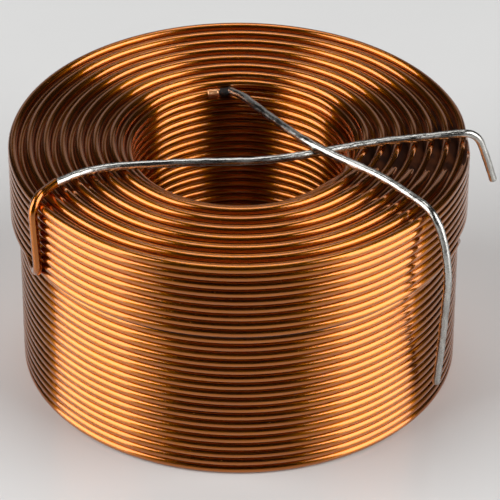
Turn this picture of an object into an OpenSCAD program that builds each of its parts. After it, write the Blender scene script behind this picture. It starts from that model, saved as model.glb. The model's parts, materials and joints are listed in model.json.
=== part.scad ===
// Air core inductor: a self-supporting, bonded coil of enamelled copper wire
// with two formed, tinned lead-out ends. Millimetres, +Z along the coil axis.

/* [Wire] */
// Diameter of the wire over its enamel and bond coat
wire_d = 1.09; // [0.9:0.01:1.3]
// Diameter of the stripped and tinned lead ends
bare_d = 0.96; // [0.8:0.01:1.05]
// Slack between neighbouring turns of one layer
turn_gap = 0.01; // [0.005:0.005:0.05]

/* [Winding] */
// Diameter of the mandrel the coil was wound on, which is its bore
mandrel_d = 25.4; // [22:0.2:36]
// Turns in a full layer, which set the coil height
turns = 27; // [24:1:36]
// Layers of wire, the outer one only part filled
layers = 15; // [11:2:17]
// Full turns in the part-filled outer layer
outer_turns = 9; // [6:1:12]
// Radial step from layer to layer, in wire diameters (0.87 is fully nested)
nesting = 0.908; // [0.88:0.005:1]
// Depth of the flats that the mandrel and its flanges pressed into the bond coat
press = 0.03; // [0.02:0.005:0.06]
// Height of bond coat that fills the grooves, outward from the wire centres
bond = 0.2; // [0.12:0.01:0.3]

/* [Start lead] */
// Direction in which the inner end leaves the bore, from +X
start_az = 100; // [80:1:120]
// Length of the first turn, which lies as a step above the full inner turns
start_turn = 250; // [90:5:300]
// Turns by which the inner layer stops short of the top of the coil
start_drop = 2; // [2:1:3]
// Length of the straight cut end beside the coil
start_end = 3.6; // [3:0.1:8]
// Direction of the wall stretch of this lead, from +X
start_wall_az = -34; // [-45:0.2:-22]
// Distance by which that stretch bows out from the rim
start_bow = 3.4; // [1.6:0.1:5]
// Height of its cut end above the foot of the coil
start_lift = 5.4; // [4:0.1:9]

/* [Finish lead] */
// Direction in which the outer end rises up the wall, from +X
finish_az = 212.6; // [200:0.2:225]
// Length of the straight cut end past the rim
finish_end = 3.4; // [3:0.1:8]
// Distance of that cut end's tip outside the coil
finish_reach = 3.1; // [2:0.1:8]
// Depth of that tip below the lead's run over the top
finish_drop = 7.1; // [6:0.1:16]

/* [Forming] */
// Clearance between a lead and what it lies on
seat = 0.02; // [0.01:0.01:0.1]
// Facets around a formed lead
lead_sides = 12; // [12:2:20]

/* [Hidden] */
$fn = 96;

enamel = [0.72, 0.38, 0.12];
tin = [0.78, 0.78, 0.76];
sink = 0.5;            // how far one stretch of a lead reaches into the next

turn_pitch = wire_d + turn_gap;
layer_pitch = wire_d * nesting;
wire_r = wire_d / 2;
mandrel_r = mandrel_d / 2;
outer_first = turns - outer_turns;    // lowest full row of the outer layer
inner_last = turns - 1 - start_drop;  // highest full row of the inner layer

// Centre of a turn in the coil's half section: layers from 1, rows from 0 at the bottom.
// Odd layers lie half a pitch higher than even ones, each in the grooves of the layer before it.
function turn_x(layer) = mandrel_r - press + wire_r + (layer - 1) * layer_pitch;
function turn_z(layer, row) = wire_r - press + row * turn_pitch + (layer % 2 == 1 ? turn_pitch / 2 : 0);

outer_r = turn_x(layers) + wire_r;
wall_r = turn_x(layers - 1) + wire_r; // wall below the outer layer
coil_h = turn_z(1, turns - 1) + wire_r - press;

function at(r, az, z) = [r * cos(az), r * sin(az), z];
function unit(v) = v / norm(v);

// ---- Winding ----

module turn(layer, row) translate([turn_x(layer), turn_z(layer, row)]) circle(r = wire_r);

// Wire and bond coat behind the outermost turns, bounded just outside their centres
module core() {
    low = turn_z(1, 0) - bond;
    step_z = turn_z(layers, outer_first) - bond;
    ledge_z = turn_z(1, inner_last) + bond;
    polygon(concat(
        [for (l = [1 : layers - 1]) [turn_x(l), turn_z(l, 0) - bond]],
        [[turn_x(layers - 1) + bond, turn_z(layers - 1, 0)],
         [turn_x(layers - 1) + bond, step_z],
         [turn_x(layers) + bond, step_z],
         [turn_x(layers) + bond, turn_z(layers, turns - 1)]],
        [for (l = [layers : -1 : 2]) [turn_x(l), turn_z(l, turns - 1) + bond]],
        [[turn_x(2) - bond, turn_z(2, turns - 1)],
         [turn_x(2) - bond, ledge_z],
         [turn_x(1) - bond, ledge_z],
         [turn_x(1) - bond, low + bond]]));
}

// Half section of the coil, trimmed flat where it lay against mandrel and flanges
module section() {
    intersection() {
        union() {
            core();
            for (row = [0 : inner_last]) turn(1, row);
            for (row = [inner_last : turns - 1]) turn(2, row);
            for (row = [0 : outer_first]) turn(layers - 1, row);
            for (row = [outer_first : turns - 1]) turn(layers, row);
            for (l = [2 : layers - 2]) turn(l, 0);
            for (l = [3 : layers - 1]) turn(l, turns - 1);
        }
        translate([mandrel_r, 0]) square([outer_r, coil_h]);
    }
}

// Part of a turn that stands free on a full turn, with its bead of bond coat
module part_turn(layer, row, from, span, beside, below) {
    rotate([0, 0, from]) rotate_extrude(angle = span, $fn = $fn)
        intersection() {
            union() {
                turn(layer, row);
                polygon([[turn_x(layer) + beside * layer_pitch, turn_z(layer, row)],
                         [turn_x(layer) - beside * bond, turn_z(layer, row)],
                         [turn_x(layer) - beside * bond, turn_z(layer, row + below)],
                         [turn_x(layer) + beside * layer_pitch, turn_z(layer, row + below)]]);
            }
            translate([mandrel_r, 0]) square([outer_r, coil_h]);
        }
}

module winding() color(enamel) {
    rotate_extrude() section();
    part_turn(1, inner_last + 1, start_az, start_turn, 1, -1);
}

// ---- Leads: a route of straight stretches, with every corner bent round ----

// Points of the bend at corner b, which starts and ends reach away from it
function bend(a, b, c, reach, steps = 5) =
    let (u = unit(a - b), w = unit(c - b), half = acos(u * w) / 2, r = reach * tan(half),
         centre = b + unit(u + w) * (r / sin(half)), x = unit(b + u * reach - centre), turn = 180 - 2 * half)
    [for (i = [0 : steps]) centre + r * (x * cos(turn * i / steps) - u * sin(turn * i / steps))];

function formed(p, ease) = concat([p[0]],
    [for (i = [1 : len(p) - 2])
        each bend(p[i - 1], p[i], p[i + 1],
            min(ease, 0.47 * min(norm(p[i] - p[i - 1]), norm(p[i + 1] - p[i]))))],
    [p[len(p) - 1]]);

function directions(p) = [for (i = [0 : len(p) - 1])
    unit((i > 0 ? unit(p[i] - p[i - 1]) : [0, 0, 0]) + (i < len(p) - 1 ? unit(p[i + 1] - p[i]) : [0, 0, 0]))];

// A side direction carried along the route without twist
function sideways(t) = [for (i = 0, n = unit(cross(t[0], [0.3, 0.2, 1])); i < len(t);
    i = i + 1, n = i < len(t) ? unit(n - (n * t[i]) * t[i]) : n) n];

module wire(path, d) {
    t = directions(path);
    n = sideways(t);
    s = lead_sides;
    last = (len(path) - 1) * s;
    rings = [for (i = [0 : len(path) - 1]) for (k = [0 : s - 1])
        path[i] + d / 2 * (cos(360 * k / s) * n[i] + sin(360 * k / s) * cross(t[i], n[i]))];
    walls = [for (i = [0 : len(path) - 2]) for (k = [0 : s - 1])
        [i * s + k, (i + 1) * s + k, (i + 1) * s + (k + 1) % s, i * s + (k + 1) % s]];
    polyhedron(rings, concat([[for (k = [0 : s - 1]) k]], walls, [[for (k = [s - 1 : -1 : 0]) last + k]]));
}

// Round straight end of a lead, from its tip back along the way it points
module cut_end(tip, way, length) {
    translate(tip) rotate([0, acos(-way[2]), atan2(-way[1], -way[0])]) cylinder(d = bare_d, h = length);
}

// Run of the finish lead over the top of the coil
top_z = coil_h + bare_d / 2 + seat;
riser_r = outer_r + wire_r + seat;
tin_from = at(outer_r - 3.75, finish_az - 5.7, coil_h + wire_r + seat);
finish_lap = 9;        // degrees of the foot bend, between the last turn and the riser
foot_z = turn_z(layers, outer_first);
riser = [
    at(turn_x(layers), finish_az - finish_lap, foot_z),
    at(riser_r, finish_az + 0.6, foot_z),
    at(riser_r, finish_az, top_z - 0.1),
    at(outer_r - 0.8, finish_az - 1.9, top_z + 0.2),
    tin_from];
finish_tip = at(outer_r + finish_reach, 2, top_z - finish_drop);
finish_knee = at(outer_r + 1.95, 1.7, top_z - 3.3);
over_top = [
    tin_from - unit(tin_from - riser[3]) * sink,
    at(outer_r - 7.2, 204.7, top_z),
    at(mandrel_r + 3.6, 206.2, top_z),
    [-0.80 * mandrel_r, -0.532 * mandrel_r, top_z],
    [-0.455 * mandrel_r, -0.495 * mandrel_r, top_z],
    [0.20 * mandrel_r, -0.468 * mandrel_r, top_z],
    [0.59 * mandrel_r, -0.37 * mandrel_r, top_z],
    [0.95 * mandrel_r, -0.24 * mandrel_r, top_z],
    at(mandrel_r + 4.2, -5.2, top_z),
    at(outer_r - 3.4, -0.3, top_z),
    at(outer_r + 0.75, 1.2, top_z + 0.1),
    finish_knee,
    finish_tip - unit(finish_tip - finish_knee) * (finish_end - sink)];

module finish_lead() {
    color(enamel) wire(formed(riser, 2.2), wire_d);
    color(tin) wire(formed(over_top, 2.6), bare_d * 0.995);
    color(tin) cut_end(finish_tip, unit(finish_tip - finish_knee), finish_end);
}

// The start lead passes over the finish lead and the rim, then hangs beside the wall
cross_z = top_z + bare_d + seat;
start_tip = at(wall_r + start_bow / 2, start_wall_az + 0.7, start_lift);
start_knee = at(wall_r + start_bow / 2 + 0.9, start_wall_az - 0.7, start_lift + 6.2);
start_from = at(turn_x(1), start_az, turn_z(1, inner_last + 1));
start_way = [sin(start_az), -cos(start_az), 0];
start_neck = [
    start_from,
    start_from + start_way * 2 + [0, 0.3, 0.6],
    [0.04 * mandrel_r, 0.83 * mandrel_r, top_z - 0.7]];
over_wall = [
    start_neck[1] + unit(start_neck[2] - start_neck[1]) * 0.5,
    start_neck[2],
    [0.28 * mandrel_r, 0.32 * mandrel_r, top_z + 0.1],
    [0.49 * mandrel_r, -0.035 * mandrel_r, cross_z - 0.35],
    [0.66 * mandrel_r, -0.295 * mandrel_r, cross_z + 0.1],
    [0.93 * mandrel_r, -0.53 * mandrel_r, cross_z],
    at(mandrel_r + 6.6, -31.2, top_z + 0.6),
    at(outer_r - 4.2, start_wall_az - 0.4, top_z + 0.5),
    at(outer_r + 0.8, start_wall_az - 3.8, top_z + 0.5),
    at(outer_r + 0.72 * start_bow, start_wall_az - 3.8, coil_h - 2.5),
    at(outer_r + start_bow, start_wall_az - 4.2, coil_h - 6.8),
    start_knee,
    start_tip - unit(start_tip - start_knee) * (start_end - sink)];

module start_lead() {
    color(enamel) wire(formed(start_neck, 1.2), wire_d);
    color(tin) wire(formed(over_wall, 2.6), bare_d * 0.995);
    color(tin) cut_end(start_tip, unit(start_tip - start_knee), start_end);
}

winding();
start_lead();
finish_lead();
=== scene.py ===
# %% [markdown]
# # Air core inductor
# A flat ring of enamelled copper wire that stands without a former: fifteen layers of turns, bonded
# by the baked outer coat of the wire, with both ends stripped, tinned and bent across the top.
# Almost all of its look comes from one long polished wire, so this lesson models the wire itself:
# every visible turn is a real helix with its cross-overs, and only the near-black bond coat deep in
# the grooves is painted shade.

import json
import math

import bpy
import numpy as np
from mathutils import Matrix, Vector


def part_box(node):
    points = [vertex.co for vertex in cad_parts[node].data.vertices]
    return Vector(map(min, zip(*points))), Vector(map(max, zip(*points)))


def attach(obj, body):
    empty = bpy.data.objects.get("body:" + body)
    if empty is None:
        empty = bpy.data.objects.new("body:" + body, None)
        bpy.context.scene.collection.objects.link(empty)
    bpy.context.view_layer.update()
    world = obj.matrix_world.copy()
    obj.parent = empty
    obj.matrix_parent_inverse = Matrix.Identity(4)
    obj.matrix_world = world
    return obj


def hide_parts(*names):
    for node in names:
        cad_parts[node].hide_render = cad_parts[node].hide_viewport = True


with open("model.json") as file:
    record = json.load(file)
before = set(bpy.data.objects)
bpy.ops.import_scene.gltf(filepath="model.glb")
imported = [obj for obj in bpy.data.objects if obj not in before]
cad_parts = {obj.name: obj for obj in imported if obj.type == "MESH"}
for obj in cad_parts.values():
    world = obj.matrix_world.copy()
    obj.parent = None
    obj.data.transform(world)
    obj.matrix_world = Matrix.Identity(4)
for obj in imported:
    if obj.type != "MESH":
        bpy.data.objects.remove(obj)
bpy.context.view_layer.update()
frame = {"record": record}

# %% [markdown]
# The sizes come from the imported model: the bore mount gives the mandrel, the box of the winding
# gives its height, and the pin mount at the finish end gives the bare wire. Lengths in this file
# are in millimetres, as they are on a coil winder's sheet, and MM turns them into metres when a
# mesh is made.

# %% Sizes of the coil
MM = 0.001
mounts = {mount["name"]: mount for mount in frame["record"]["mounts"]}
winding_low, winding_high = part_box("winding")

mandrel_r = mounts["bore"]["dims"]["r_mm"]
coil_h = winding_high.z / MM
bare_r = mounts["finish_end"]["dims"]["r_mm"]
wire_d = 1.09
wire_r = wire_d / 2
turns = 27
layers = 15
TURN_GAP = 0.01
NESTING = 0.908  # each layer sinks into the grooves of the one below it
turn_pitch = wire_d + TURN_GAP
layer_pitch = wire_d * NESTING
press = 0.03  # how far the mandrel and the flanges push in the turns that touch them
seat = 0.02  # room between wires that only rest on one another
print("bore", mandrel_r * 2, "height", round(coil_h, 3), "bare wire", bare_r * 2)


def layer_r(layer):
    """Radius of the wire's centre line in a layer, counted from 1 at the bore."""
    return mandrel_r - press + wire_r + (layer - 1) * layer_pitch


def top_z(layer):
    """Height of the highest turn: even layers lie half a pitch lower, in the grooves."""
    return coil_h + press - wire_r - (0 if layer % 2 else turn_pitch / 2)


outer_r = layer_r(layers) + wire_r
wall_r = layer_r(layers - 1) + wire_r
print("outer radius", round(outer_r, 3), "first turn at", round(top_z(1), 3))

# %% [markdown]
# The camera comes first, because the length of its lens decides how the ring looks. It stands a
# little under half a metre away with a long lens, looks down by about 34 degrees, and is turned by
# a fraction of a degree about its own axis. The offsets slide it sideways and upwards.

# %% Camera
LENS = 243.6
SENSOR = 36.0
LOOK_DOWN = math.radians(34.08)
ROLL = math.radians(-0.22)
CAMERA_DISTANCE = 404.1
CAMERA_SIDE = 1.34
CAMERA_UP = -13.41

right = Vector((1, 0, 0))
ahead = Vector((0, math.cos(LOOK_DOWN), -math.sin(LOOK_DOWN)))
up = right.cross(ahead)
camera_data = bpy.data.cameras.new("camera")
camera_data.lens = LENS
camera_data.sensor_width = SENSOR
camera_data.clip_start = 0.01
camera = bpy.data.objects.new("camera", camera_data)
bpy.context.scene.collection.objects.link(camera)
spot = Vector((0, 0, coil_h)) + CAMERA_SIDE * right + CAMERA_UP * up - CAMERA_DISTANCE * ahead
screen_x = math.cos(ROLL) * right - math.sin(ROLL) * up
screen_y = math.sin(ROLL) * right + math.cos(ROLL) * up
turned = Matrix((screen_x, screen_y, -ahead)).transposed()
camera.matrix_world = Matrix.Translation(spot * MM) @ turned.to_4x4()
bpy.context.scene.camera = camera
print("camera at", [round(v, 4) for v in camera.location])

# %% [markdown]
# Shader maths reads best as ordinary Python, so one small class wraps a socket and gives it the
# usual operators. A Nodes object owns a material's tree and adds any node with one call: first
# its settings, then the values or links of its sockets.

# %% Shader helpers


class Socket:
    """A shader value that can be added, multiplied and ramped."""

    def __init__(self, nodes, socket):
        self.nodes = nodes
        self.socket = socket

    def _math(self, operation, first, second):
        return self.nodes.add("ShaderNodeMath", {"operation": operation}, {0: first, 1: second})

    def __add__(self, other):
        return self._math("ADD", self, other)

    def __radd__(self, other):
        return self._math("ADD", other, self)

    def __mul__(self, other):
        return self._math("MULTIPLY", self, other)

    def __rmul__(self, other):
        return self._math("MULTIPLY", other, self)

    def ramp(self, low, high):
        """0 below low, 1 above high, smooth between."""
        ends = {"Value": self, "From Min": low, "From Max": high}
        return self.nodes.add("ShaderNodeMapRange", {"interpolation_type": "SMOOTHSTEP"}, ends)


# The Mix node names its sockets alike for every data type, so those for colours are found by
# their number.
MIX_LOW = 6
MIX_HIGH = 7
MIX_COLOUR = 2


class Nodes:
    """The node tree of one new material."""

    def __init__(self, name):
        self.material = bpy.data.materials.new(name)
        self.material.use_nodes = True
        self.tree = self.material.node_tree
        self.shader = self.tree.nodes["Principled BSDF"]

    def add(self, kind, settings=None, sockets=None, output=0):
        node = self.tree.nodes.new(kind)
        for key, value in (settings or {}).items():
            setattr(node, key, value)
        for key, value in (sockets or {}).items():
            self.feed(node.inputs[key], value)
        return Socket(self, node.outputs[output])

    def feed(self, target, value):
        if isinstance(value, Socket):
            self.tree.links.new(value.socket, target)
        elif target.type == "RGBA" and len(value) == 3:
            target.default_value = (*value, 1.0)
        else:
            target.default_value = value

    def finish_with(self, **sockets):
        """Sets sockets of the Principled shader: Base_Color feeds Base Color."""
        for key, value in sockets.items():
            self.feed(self.shader.inputs[key.replace("_", " ")], value)
        return self.material

    def attribute(self, name):
        return self.add("ShaderNodeAttribute", {"attribute_name": name}, output="Vector")

    def scaled(self, vector, scale):
        return self.add("ShaderNodeVectorMath", {"operation": "MULTIPLY"}, {0: vector, 1: scale})

    def noise(self, vector, scale, detail=2.0, roughness=0.5):
        sockets = {"Vector": vector, "Scale": scale, "Detail": detail, "Roughness": roughness}
        return self.add("ShaderNodeTexNoise", {}, sockets)

    def mix(self, factor, low, high):
        """A colour from low at factor 0 to high at factor 1."""
        node = self.tree.nodes.new("ShaderNodeMix")
        node.data_type = "RGBA"
        self.feed(node.inputs["Factor"], factor)
        self.feed(node.inputs[MIX_LOW], low)
        self.feed(node.inputs[MIX_HIGH], high)
        return Socket(self, node.outputs[MIX_COLOUR])

    def bump(self, height, strength, distance):
        sockets = {"Height": height, "Strength": strength, "Distance": distance}
        return self.add("ShaderNodeBump", {}, sockets)


# %% [markdown]
# Everything on this part is drawn wire, so one kind of mesh serves for all of it: a tube swept
# along a list of points. Each vertex also remembers where it would lie on the same wire pulled
# straight, in an attribute called wire_space. Its x is the length along the wire and its y and z
# lie across it, so scratches, dust and waviness follow the wire round every bend without a seam.

# %% Tube meshes


class Tubes:
    """Collects tubes and makes one mesh object of them."""

    def __init__(self):
        self.points = []
        self.straight = []
        self.faces = []
        self.count = 0

    def add(self, rings, along, across, caps=(True, True)):
        """rings: (n, sides, 3) points; along: (n,) lengths; across: (n, sides, 2) in wire space."""
        n, sides, _ = rings.shape
        self.points.append(rings.reshape(-1, 3))
        lengths = np.repeat(along, sides)[:, None]
        self.straight.append(np.hstack([lengths, across.reshape(-1, 2)]))
        ring, side = np.meshgrid(np.arange(n - 1), np.arange(sides), indexing="ij")
        after = (side + 1) % sides
        here = ring * sides
        beyond = here + sides
        corners = (here + side, here + after, beyond + after, beyond + side)
        quads = np.stack(corners, -1).reshape(-1, 4) + self.count
        self.faces.extend(quads.tolist())
        if caps[0]:
            self.faces.append((self.count + np.arange(sides)[::-1]).tolist())
        if caps[1]:
            self.faces.append((self.count + (n - 1) * sides + np.arange(sides)).tolist())
        self.count += n * sides

    def make(self, name, material):
        mesh = bpy.data.meshes.new(name)
        mesh.from_pydata((np.vstack(self.points) * MM).tolist(), [], self.faces)
        mesh.update()
        mesh.shade_smooth()
        for face in mesh.polygons:
            face.use_smooth = face.loop_total == 4  # the caps stay flat
        space = mesh.attributes.new("wire_space", "FLOAT_VECTOR", "POINT")
        space.data.foreach_set("vector", np.vstack(self.straight).astype(np.float32).ravel())
        mesh.materials.append(material)
        piece = bpy.data.objects.new(name, mesh)
        bpy.context.scene.collection.objects.link(piece)
        print(name, "faces:", len(mesh.polygons))
        return piece


def round_section(sides):
    """Unit circle as (sides, 2)."""
    angle = np.arange(sides) * 2 * math.pi / sides
    return np.stack([np.cos(angle), np.sin(angle)], -1)


# %% [markdown]
# On such a winder a turn lies level for most of the way round and steps down (or up) by one wire
# in a slanting stretch, always at about the same side of the coil. Odd layers run down from the
# top flange and even layers climb back, half a pitch lower, in the grooves between the odd turns.
# At the end of a layer the wire rises to the flange and slips outward to begin the next one. A
# small waviness in radius and height is added last, for no hand-guided wire lies quite true.

# %% Path of the wire in one layer
CHANGE_AZ = -19.0  # where the layers change, in degrees
CHANGE_DRIFT = 1.1  # each layer changes a little later than the one before
CHANGE_HALF = 20.0
DIVE = (-6.0, 16.0)  # centre and half width of a step down, counted from the change
CLIMB = (8.0, 22.0)
WAVES = ((0.008, 1.7), (0.006, 0.61), (0.004, 0.23), (0.003, 0.11))  # size, and turns to a wave
SAMPLES_PER_TURN = 160
WIRE_SPACE_APART = 400  # keeps the noise of one layer away from that of the next
randoms = np.random.default_rng(7)
step_scatter = randoms.normal(0, 1.2, (layers + 2, turns + 2))
wave_phase = randoms.uniform(0, 2 * math.pi, (layers + 2, 4))


def change_az(layer):
    """Azimuth at which the wire is half-way between a layer and the one before."""
    return CHANGE_AZ + CHANGE_DRIFT * layer


def smooth(x):
    x = np.clip(x, 0, 1)
    return x * x * (3 - 2 * x)


def share_in(x, centre, half):
    """Runs from 0 to 1 within half of centre."""
    return smooth((x - centre) / (2 * half) + 0.5)


def layer_path(layer, first, last):
    """Points (azimuth in degrees, radius, height) from turn `first` to turn `last` of a layer."""
    angle = np.linspace(first * 360, last * 360, int((last - first) * SAMPLES_PER_TURN) + 2)
    down = layer % 2 == 1
    centre, half = DIVE if down else CLIMB
    steps = np.zeros_like(angle)
    for turn in range(1, turns):
        steps += share_in(angle, turn * 360 + centre + step_scatter[layer, turn], half)
    lowest = top_z(layer) - (turns - 1) * turn_pitch
    height = top_z(layer) - steps * turn_pitch if down else lowest + steps * turn_pitch
    arrive = 1 - share_in(angle, 0, CHANGE_HALF)
    height += arrive * (top_z(layer - 1) - (turns - 1) * turn_pitch * (not down) - height)
    leave = share_in(angle, turns * 360 + CHANGE_DRIFT, CHANGE_HALF)
    next_height = top_z(layer + 1) - (turns - 1) * turn_pitch * down
    height += leave * (next_height - height)
    radius = layer_r(layer) + (leave - arrive) * layer_pitch
    for order, (size, period) in enumerate(WAVES):
        wave = np.sin(np.radians(angle) / period + wave_phase[layer, order])
        radius += size * wave
        height += 0.6 * size * np.roll(wave, 7)
    height = np.clip(height, wire_r, coil_h - wire_r)
    return angle + change_az(layer), np.maximum(radius, mandrel_r + wire_r), height


def add_turns(tubes, layer, first, last, sides=16, end_cap=False):
    """Adds a run of turns. Its two ends stay open, unless its end is a real end of a layer."""
    azimuth, radius, height = layer_path(layer, first, last)
    azimuth = np.radians(azimuth)
    section = round_section(sides) * wire_r
    out = radius[:, None] + section[None, :, 0]
    tall = height[:, None] + section[None, :, 1]
    rings = np.stack([out * np.cos(azimuth)[:, None], out * np.sin(azimuth)[:, None], tall], -1)
    along = np.concatenate([[0], np.cumsum(np.diff(azimuth) * radius[1:])])
    along += WIRE_SPACE_APART * layer
    across = np.broadcast_to(section, (len(along), sides, 2))
    tubes.add(rings[:, ::-1], along, across[:, ::-1], (False, end_cap))


print("points along one whole layer:", len(layer_path(1, 0, turns)[0]))

# %% [markdown]
# The enamel is a clear amber coat over bright copper. A metal base with a glossy coat gives both
# reflections of it: the deep orange one from the copper and the pale one from the coat. The base
# is dark, because the enamel swallows most of the light that passes it twice. It is never quite
# even: the coat runs thicker and thinner along the wire, the winder's eye leaves fine drawn
# scratches, and dust sits on it. The drawing die has scored the copper along its length, so its
# reflection spreads across the wire and stays short along it. The anisotropic setting does that.

# %% Enamelled wire


def enamelled_copper(name, dark, light):
    nodes = Nodes(name)
    wire = nodes.attribute("wire_space")
    drift = nodes.noise(nodes.scaled(wire, (0.05, 0.25, 0.25)), 1.0, 3.0)
    streak = nodes.noise(nodes.scaled(wire, (0.12, 9.0, 9.0)), 1.0, 2.0)
    speck = nodes.noise(nodes.scaled(wire, (5.0, 8.0, 8.0)), 1.0, 1.0).ramp(0.74, 0.80)
    tone = (drift * 0.7 + streak * 0.3).ramp(0.3, 0.7)
    colour = nodes.mix(tone, dark, light)
    colour = nodes.mix(speck * 0.35, colour, (0.55, 0.45, 0.36))
    rough = 0.23 + 0.07 * streak.ramp(0.35, 0.75) + 0.06 * drift.ramp(0.5, 0.8) + 0.3 * speck
    ripple = nodes.noise(nodes.scaled(wire, (0.35, 0.9, 0.9)), 1.0, 2.0) + 0.10 * streak
    normal = nodes.bump(ripple + 0.25 * speck, 0.35, 0.00006)
    return nodes.finish_with(
        Base_Color=colour, Roughness=rough, Metallic=1.0, Normal=normal,
        Coat_Weight=1.0, Coat_Roughness=0.05, Coat_IOR=1.5,
        Anisotropic=0.85, Anisotropic_Rotation=0.25)


enamel = enamelled_copper("enamelled_copper", (0.41, 0.108, 0.002), (0.53, 0.154, 0.004))
print("material:", enamel.name)

# %% [markdown]
# The outer layer stops part of the way down the wall, after nine turns, where the finish lead has
# its foot. Below it the wall is the layer before, which climbs from the bottom.

# %% Outer wall
OUTER_ROWS = 9
LAST_TURN_GAP = 0.04  # the last turn stops short of the next crossing, in turns
WALL_ROWS = 19.0
outer_turns = Tubes()
add_turns(outer_turns, layers, 0.0, OUTER_ROWS - LAST_TURN_GAP, end_cap=True)
outer_layer = outer_turns.make("outer_layer", enamel)

wall_turns = Tubes()
add_turns(wall_turns, layers - 1, 0.0, WALL_ROWS)
wall_layer = wall_turns.make("wall_layer", enamel)

# %% [markdown]
# The bore shows the innermost layer. Its first turn starts one wire below the top, where the start
# lead leaves, so there is a short ledge with the second layer standing above it.

# %% Bore wall
START_AZ = 100.0
bore_turns = Tubes()
bore_start = 1 + (START_AZ - change_az(1)) / 360
add_turns(bore_turns, 1, bore_start, float(turns))
bore_layer = bore_turns.make("bore_layer", enamel)

# %% [markdown]
# On the two flat ends only the last turn of each layer shows. It is made with a bit of its
# neighbour, so that every cross-over has something to step down to. An odd layer begins at the
# top and ends at the bottom, and an even layer the other way round. The second layer stands free
# above the ledge in the bore, so one more of its turns is made.

# %% End faces
SHOWN = 1.3  # turns
LAST = turns + CHANGE_DRIFT / 360
BOTTOM_SIDES = 12
top_turns = Tubes()
bottom_turns = Tubes()
for layer in range(2, layers):
    shown = SHOWN + (layer == 2)
    at_top, at_bottom = (0.0, LAST - SHOWN) if layer % 2 else (LAST - shown, 0.0)
    add_turns(top_turns, layer, at_top, at_top + shown)
    if layer < layers - 1:
        add_turns(bottom_turns, layer, at_bottom, at_bottom + SHOWN, BOTTOM_SIDES)
top_face = top_turns.make("top_face_turns", enamel)
bottom_face = bottom_turns.make("bottom_face_turns", enamel)

# %% [markdown]
# Between the turns lies the baked bond coat, a hard varnish that only shows deep in each groove and
# as a dark fillet in the corner under the outer layer. Its near-black brown is painted shade: it
# draws the dark line in each groove. One ring turned from a section closes all the grooves at once.

# %% Bond coat
BOND = 0.16  # how far the coat stands out from the line through the wires' centres
CORNER_FILL_DROP = 0.98
LATHE_STEPS = 180


def bond_section():
    """Outline of the bonded mass: foot, wall with its step, top, and bore with its ledge."""
    low = [(layer_r(n), top_z(n) - (turns - 1) * turn_pitch - BOND) for n in range(1, layers)]
    step_z = top_z(layers) - (OUTER_ROWS - 1) * turn_pitch - BOND
    wall = layer_r(layers - 1) + BOND
    rim = layer_r(layers) + BOND
    # A dark fillet fills the corner under the outer layer and covers the wall's top turn there.
    corner_fill = (wall_r + 0.03, step_z - CORNER_FILL_DROP)
    side = [
        (wall, top_z(layers - 1) - (turns - 1) * turn_pitch), (wall, corner_fill[1]), corner_fill,
        (rim - 0.3, step_z - 0.35), (rim, step_z), (rim, top_z(layers))]
    high = [(layer_r(n), top_z(n) + BOND) for n in range(layers, 1, -1)]
    ledge = top_z(1) - 2 * turn_pitch + BOND
    bore = [(layer_r(2) - BOND, top_z(2)), (layer_r(2) - BOND, ledge), (layer_r(1) - BOND, ledge)]
    return low + side + high + bore


def lathe(name, outline, steps, material):
    """A closed ring turned from an outline of (radius, height) points."""
    angle = np.arange(steps) * 2 * math.pi / steps
    profile = np.array(outline)
    x = np.cos(angle)[:, None] * profile[:, 0]
    y = np.sin(angle)[:, None] * profile[:, 0]
    z = np.broadcast_to(profile[:, 1], x.shape)
    points = np.stack([x, y, z], -1).reshape(-1, 3) * MM
    n = len(outline)
    faces = []
    for ring in range(steps):
        after = (ring + 1) % steps
        for k in range(n):
            nxt = (k + 1) % n
            faces.append((ring * n + k, after * n + k, after * n + nxt, ring * n + nxt))
    mesh = bpy.data.meshes.new(name)
    mesh.from_pydata(points.tolist(), [], faces)
    mesh.update()
    mesh.materials.append(material)
    piece = bpy.data.objects.new(name, mesh)
    bpy.context.scene.collection.objects.link(piece)
    return piece


def bond_varnish():
    nodes = Nodes("bond_varnish")
    place = nodes.add("ShaderNodeTexCoord", output="Object")
    cloud = nodes.noise(place, 400.0, 3.0)
    # The near-black brown is painted shade for the grooves; the cloud only varies its tone.
    colour = nodes.mix(cloud.ramp(0.35, 0.7), (0.012, 0.003, 0.001), (0.05, 0.014, 0.004))
    normal = nodes.bump(cloud, 0.4, 0.0001)
    return nodes.finish_with(
        Base_Color=colour, Roughness=0.5 + 0.2 * cloud, Specular_IOR_Level=0.06, Normal=normal)


# The bond coat ring carries the painted groove shade.
bond_coat = lathe("bond_coat", bond_section(), LATHE_STEPS, bond_varnish())
print("bond coat section has", len(bond_section()), "points")

# %% [markdown]
# The two leads were bent by hand over the finished coil. Each follows a list of points, and every
# corner is bent round with an arc that starts and ends the same length away from it. The points
# repeat those of the CAD source, so the dressed leads lie where the solid ones do.

# %% Routes of the leads
FINISH_AZ = 212.6
FINISH_LAP = 9.0
FINISH_REACH = 3.1
FINISH_DROP = 7.1
FOOT_SAG = 0.6
START_WALL_AZ = -34.0
START_BOW = 3.4
START_LIFT = 5.4
BEND_STEPS = 10
lead_z = coil_h + bare_r + seat
riser_r = outer_r + wire_r + seat
cross_z = lead_z + 2 * bare_r + seat


def at(radius, azimuth, height):
    turned_by = math.radians(azimuth)
    return np.array([radius * math.cos(turned_by), radius * math.sin(turned_by), height])


def unit(vector):
    return vector / np.linalg.norm(vector)


def bend(before, corner, after, reach):
    """Points of the arc that rounds a corner."""
    back = unit(before - corner)
    on = unit(after - corner)
    half = math.acos(float(np.clip(back @ on, -1, 1))) / 2
    radius = reach * math.tan(half)
    centre = corner + unit(back + on) * (radius / math.sin(half))
    start = unit(corner + back * reach - centre)
    sweep = math.pi - 2 * half
    angles = np.linspace(0, sweep, BEND_STEPS)
    return [centre + radius * (start * math.cos(a) - back * math.sin(a)) for a in angles]


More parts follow.
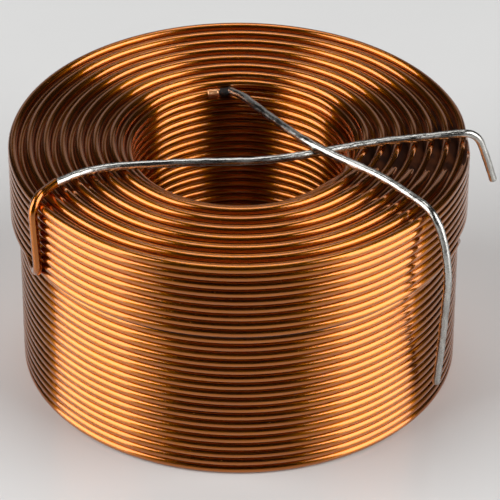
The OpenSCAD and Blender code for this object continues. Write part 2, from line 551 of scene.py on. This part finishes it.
def formed(points, ease):
    route = [points[0]]
    for before, corner, after in zip(points, points[1:], points[2:]):
        nearest = min(np.linalg.norm(corner - before), np.linalg.norm(after - corner))
        route += bend(before, corner, after, min(ease, 0.47 * nearest))
    return np.array(route + [points[-1]])


def over_bore(x, y, height):
    """A point given in shares of the mandrel's radius."""
    return np.array([x * mandrel_r, y * mandrel_r, height])


foot_z = top_z(layers) - (OUTER_ROWS - 1) * turn_pitch
tin_from = at(outer_r - 3.75, FINISH_AZ - 5.7, coil_h + wire_r + seat)
riser = [
    at(layer_r(layers), FINISH_AZ - FINISH_LAP, foot_z - 0.1),
    at(riser_r - 0.1, FINISH_AZ + 1.0, foot_z - FOOT_SAG),
    at(riser_r + 0.25, FINISH_AZ, lead_z + 0.4),
    tin_from]
finish_tip = at(outer_r + FINISH_REACH, 2, lead_z - FINISH_DROP)
finish_knee = at(outer_r + 1.95, 1.7, lead_z - 3.3)
over_top = [
    tin_from - unit(tin_from - riser[2]) * 0.5,
    at(outer_r - 7.2, 204.7, lead_z),
    at(mandrel_r + 3.6, 206.2, lead_z),
    over_bore(-0.80, -0.532, lead_z),
    over_bore(-0.455, -0.495, lead_z),
    over_bore(0.20, -0.468, lead_z),
    over_bore(0.59, -0.37, lead_z),
    over_bore(0.95, -0.24, lead_z),
    at(mandrel_r + 4.2, -5.2, lead_z),
    at(outer_r - 3.4, -0.3, lead_z),
    at(outer_r + 0.75, 1.2, lead_z + 0.1),
    finish_knee,
    finish_tip]

start_tip = at(wall_r + START_BOW / 2, START_WALL_AZ + 0.7, START_LIFT)
start_knee = at(wall_r + START_BOW / 2 + 0.9, START_WALL_AZ - 0.7, START_LIFT + 6.2)
start_from = at(layer_r(1), START_AZ, top_z(1) - turn_pitch)
start_way = np.array([math.sin(math.radians(START_AZ)), -math.cos(math.radians(START_AZ)), 0])
start_bend = over_bore(0.03, 0.82, lead_z - 1.0)
neck_end = start_from + start_way * 1.2 + np.array([0, -0.4, 0.3])
start_neck = [start_from - start_way * 0.6, start_from + start_way * 0.4, neck_end]
over_wall = [
    neck_end - unit(start_bend - neck_end) * 0.4,
    start_bend,
    over_bore(0.28, 0.32, lead_z + 0.1),
    over_bore(0.49, -0.035, cross_z - 0.35),
    over_bore(0.66, -0.295, cross_z + 0.1),
    over_bore(0.93, -0.53, cross_z),
    at(mandrel_r + 6.6, -31.2, lead_z + 0.6),
    at(outer_r - 4.2, START_WALL_AZ - 0.4, lead_z + 0.5),
    at(outer_r + 0.8, START_WALL_AZ - 3.8, lead_z + 0.5),
    at(outer_r + 0.72 * START_BOW, START_WALL_AZ - 3.8, coil_h - 2.5),
    at(outer_r + START_BOW, START_WALL_AZ - 4.2, coil_h - 6.8),
    start_knee,
    start_tip]
print("points that form the leads:", len(riser) + len(over_top), "and", len(over_wall))

# %% [markdown]
# A lead is a tube along its route. Its frame is carried along without twist, and its radius may
# change from place to place: solder lies on it in uneven drops, burnt enamel blisters, and the
# side cutter leaves the end a little crushed.

# %% Sweep along a route
RING_GAP = 0.18
LEAD_SIDES = 24
SMOOTHING_ROUNDS = 6


def resampled(route, gap):
    """Even points along a route, smoothed a little so that hand bends flow."""
    lengths = np.concatenate([[0], np.cumsum(np.linalg.norm(np.diff(route, axis=0), axis=1))])
    even = np.linspace(0, lengths[-1], max(4, int(lengths[-1] / gap)))
    path = np.stack([np.interp(even, lengths, route[:, k]) for k in range(3)], -1)
    for _ in range(SMOOTHING_ROUNDS):
        path[1:-1] = 0.25 * path[:-2] + 0.5 * path[1:-1] + 0.25 * path[2:]
    return path, even


def sweep_lead(tubes, route, radius, swell=None, offset=0.0):
    """Adds a tube along a route. swell gives the change of radius at a place round the wire, and
    offset moves the wire space, so that no two leads wear the same noise."""
    path, along = resampled(route, RING_GAP)
    way = np.gradient(path, axis=0)
    way /= np.linalg.norm(way, axis=1)[:, None]
    side = unit(np.cross(way[0], np.array([0.3, 0.2, 1.0])))
    section = round_section(LEAD_SIDES)
    rings = []
    across = []
    for k, (point, forward) in enumerate(zip(path, way)):
        side = unit(side - (side @ forward) * forward)
        other = np.cross(forward, side)
        sizes = np.full(LEAD_SIDES, radius)
        if swell:
            sizes = sizes + np.array([swell(along[k], along[-1], c, s) for c, s in section])
        flat = section * sizes[:, None]
        rings.append(point + flat[:, :1] * side + flat[:, 1:] * other)
        across.append(flat)
    tubes.add(np.array(rings), along + offset, np.array(across))


def cut_swell(along, total, c, s):
    """Shrinks the last ring of a cut end and crushes it slightly."""
    left = total - along
    return -0.10 * max(0.0, 1 - left / 0.25) ** 2 - 0.03 * c * max(0.0, 1 - left / 0.9)


def solder_swell(along, total, c, s):
    """Tinning is thin, with long low drops along it."""
    drops = 0.012 * math.sin(along * 1.7 + 0.8)
    drops += 0.010 * math.sin(along * 3.1 + 2 * c)
    drops += 0.006 * math.sin(along * 7.3 + 3 * s)
    return drops + cut_swell(along, total, c, s)


# %% [markdown]
# The tinned wire is dull grey with brighter runs where the solder froze smooth. It is a metal with
# a patchy roughness, and its bump is a fine grain plus the long runs of the solder.

# %% Tinned wire


def tinned_copper():
    nodes = Nodes("tinned_copper")
    wire = nodes.attribute("wire_space")
    runs = nodes.noise(nodes.scaled(wire, (0.35, 2.2, 2.2)), 1.0, 3.0)
    grain = nodes.noise(nodes.scaled(wire, (6.0, 11.0, 11.0)), 1.0, 3.0, 0.65)
    tone = (runs * 0.6 + grain * 0.4).ramp(0.3, 0.72)
    colour = nodes.mix(tone, (0.30, 0.29, 0.27), (0.62, 0.61, 0.58))
    pink = nodes.noise(nodes.scaled(wire, (0.8, 3.0, 3.0)), 1.0, 2.0).ramp(0.62, 0.75)
    colour = nodes.mix(pink * 0.25, colour, (0.55, 0.38, 0.27))
    rough = 0.14 + 0.16 * runs.ramp(0.35, 0.7) + 0.10 * grain.ramp(0.4, 0.7)
    normal = nodes.bump(runs * 0.7 + grain * 0.3, 0.45, 0.00010)
    return nodes.finish_with(Base_Color=colour, Roughness=rough, Metallic=1.0, Normal=normal)


tin = tinned_copper()

finish_tin_tubes = Tubes()
sweep_lead(finish_tin_tubes, formed(over_top, 2.6), bare_r, solder_swell)
finish_tin = finish_tin_tubes.make("finish_lead_tinned", tin)

start_tin_tubes = Tubes()
sweep_lead(start_tin_tubes, formed(over_wall, 2.6), bare_r, solder_swell, 200.0)
start_tin = start_tin_tubes.make("start_lead_tinned", tin)

# %% [markdown]
# Where the leads leave the coil they still wear their enamel. The riser of the finish lead keeps a
# clean coat right up to the tinning. The start lead was burnt off with a torch: its enamel ends in
# a black, blistered collar, behind a short stretch that was scraped to bright copper.

# %% Enamelled ends of the leads
riser_tubes = Tubes()
sweep_lead(riser_tubes, formed(riser, 2.2), wire_r, None, 500.0)
finish_riser = riser_tubes.make("finish_lead_riser", enamel)


def burnt_swell(along, total, c, s):
    lumps = math.sin(along * 6.1 + 2.0 * c) * math.sin(along * 9.7 + 3.1 * s + 1.0)
    return 0.05 * lumps - 0.02


def burnt_enamel():
    nodes = Nodes("burnt_enamel")
    wire = nodes.attribute("wire_space")
    lump = nodes.noise(nodes.scaled(wire, (3.0, 3.0, 3.0)), 1.0, 4.0, 0.6)
    crack = nodes.noise(nodes.scaled(wire, (9.0, 9.0, 9.0)), 1.0, 2.0)
    colour = nodes.mix(lump.ramp(0.50, 0.70), (0.004, 0.003, 0.002), (0.06, 0.022, 0.009))
    normal = nodes.bump(lump * 0.7 + crack * 0.3, 0.9, 0.0003)
    return nodes.finish_with(
        Base_Color=colour, Roughness=0.35 + 0.4 * crack, Specular_IOR_Level=0.3, Normal=normal)


def scraped_copper():
    nodes = Nodes("scraped_copper")
    wire = nodes.attribute("wire_space")
    cuts = nodes.noise(nodes.scaled(wire, (1.5, 9.0, 9.0)), 1.0, 2.0)
    colour = nodes.mix(cuts.ramp(0.35, 0.65), (0.55, 0.19, 0.06), (0.90, 0.50, 0.26))
    normal = nodes.bump(cuts, 0.5, 0.0001)
    return nodes.finish_with(Base_Color=colour, Roughness=0.32, Metallic=1.0, Normal=normal)


scraped_tubes = Tubes()
scrape = [at(layer_r(1), START_AZ + d, start_from[2]) for d in (7.5, 5.5, 3.5, 1.5)]
sweep_lead(scraped_tubes, np.array(scrape), wire_r + 0.012, None, 800.0)
start_scraped = scraped_tubes.make("start_lead_scraped", scraped_copper())

neck_tubes = Tubes()
sweep_lead(neck_tubes, formed(start_neck, 1.2), wire_r, burnt_swell, 700.0)
start_collar = neck_tubes.make("start_lead_burnt_collar", burnt_enamel())

# %% [markdown]
# The floor is a wide, pale disc with a slight gloss. Two large soft boxes stand left and right of
# the coil, with a weaker one high behind it. A faint one, low behind it, is there for the rings of
# the top face to mirror. The camera's side of the studio stays dark, and that is what draws the
# dark middle band between the two bright ones on the wall.

# %% Floor and lamps
FLOOR_RADIUS = 3.0
FLOOR_SIDES = 64
STUDIO_GREY = 0.5
STUDIO_LEVEL = 0.025


def floor_paper():
    nodes = Nodes("floor_paper")
    place = nodes.add("ShaderNodeTexCoord", output="Object")
    cloud = nodes.noise(place, 30.0, 3.0)
    colour = nodes.mix(cloud, (0.70, 0.70, 0.695), (0.74, 0.74, 0.735))
    return nodes.finish_with(Base_Color=colour, Roughness=0.2)


floor_mesh = bpy.data.meshes.new("floor")
floor_angles = np.linspace(0, 2 * math.pi, FLOOR_SIDES + 1)[:-1]
rim = [(FLOOR_RADIUS * math.cos(a), FLOOR_RADIUS * math.sin(a), 0.0) for a in floor_angles]
floor_mesh.from_pydata(rim, [], [tuple(range(FLOOR_SIDES))])
floor_mesh.materials.append(floor_paper())
floor = bpy.data.objects.new("floor", floor_mesh)
bpy.context.scene.collection.objects.link(floor)


def soft_box(name, azimuth, elevation, distance, width, height, level):
    """A rectangular lamp aimed at the coil. Azimuth 0 is the camera's side, 90 is +X. level is
    its radiance: 1 is as bright as white paper in full light."""
    data = bpy.data.lights.new(name, "AREA")
    data.shape = "RECTANGLE"
    data.size = width
    data.size_y = height
    data.energy = level * math.pi * width * height
    lamp = bpy.data.objects.new(name, data)
    a = math.radians(azimuth)
    e = math.radians(elevation)
    away = Vector((math.sin(a) * math.cos(e), -math.cos(a) * math.cos(e), math.sin(e)))
    lamp.location = away * distance
    lamp.rotation_euler = away.to_track_quat("Z", "Y").to_euler()
    bpy.context.scene.collection.objects.link(lamp)
    return lamp


boxes = [
    soft_box("soft_box_left", -76, 28, 1.1, 0.98, 1.1, 4.3),
    soft_box("soft_box_right", 71, 28, 1.1, 0.89, 1.1, 4.3),
    soft_box("soft_box_back", 180, 67, 1.1, 0.42, 0.68, 2.7),
    soft_box("soft_box_low", 180, 19, 1.2, 1.2, 0.58, 0.34)]
print("lamps:", [box.name for box in boxes])

world = bpy.data.worlds.new("studio")
world.use_nodes = True
background = world.node_tree.nodes["Background"]
background.inputs["Color"].default_value = (STUDIO_GREY, STUDIO_GREY, STUDIO_GREY, 1.0)
background.inputs["Strength"].default_value = STUDIO_LEVEL
bpy.context.scene.world = world
bpy.context.scene.view_settings.view_transform = "Standard"

# %% [markdown]
# Last, every piece is tied to the frame: it rides on the coil's only body and stands for the CAD
# node whose shape it refines. The riser and the burnt collar belong to the leads but wear the
# enamel.

# %% Tie the pieces to the frame
coil_pieces = [outer_layer, wall_layer, bore_layer, top_face, bottom_face, bond_coat]
pieces_of = {
    "winding": coil_pieces,
    "start_lead": [start_tin, start_collar, start_scraped],
    "finish_lead": [finish_tin, finish_riser]}
enamelled = coil_pieces + [finish_riser, start_collar]
for node, pieces in pieces_of.items():
    for piece in pieces:
        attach(piece, "root")
        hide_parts(node)
        "enamelled_wire" if piece in enamelled else "tinned_wire"
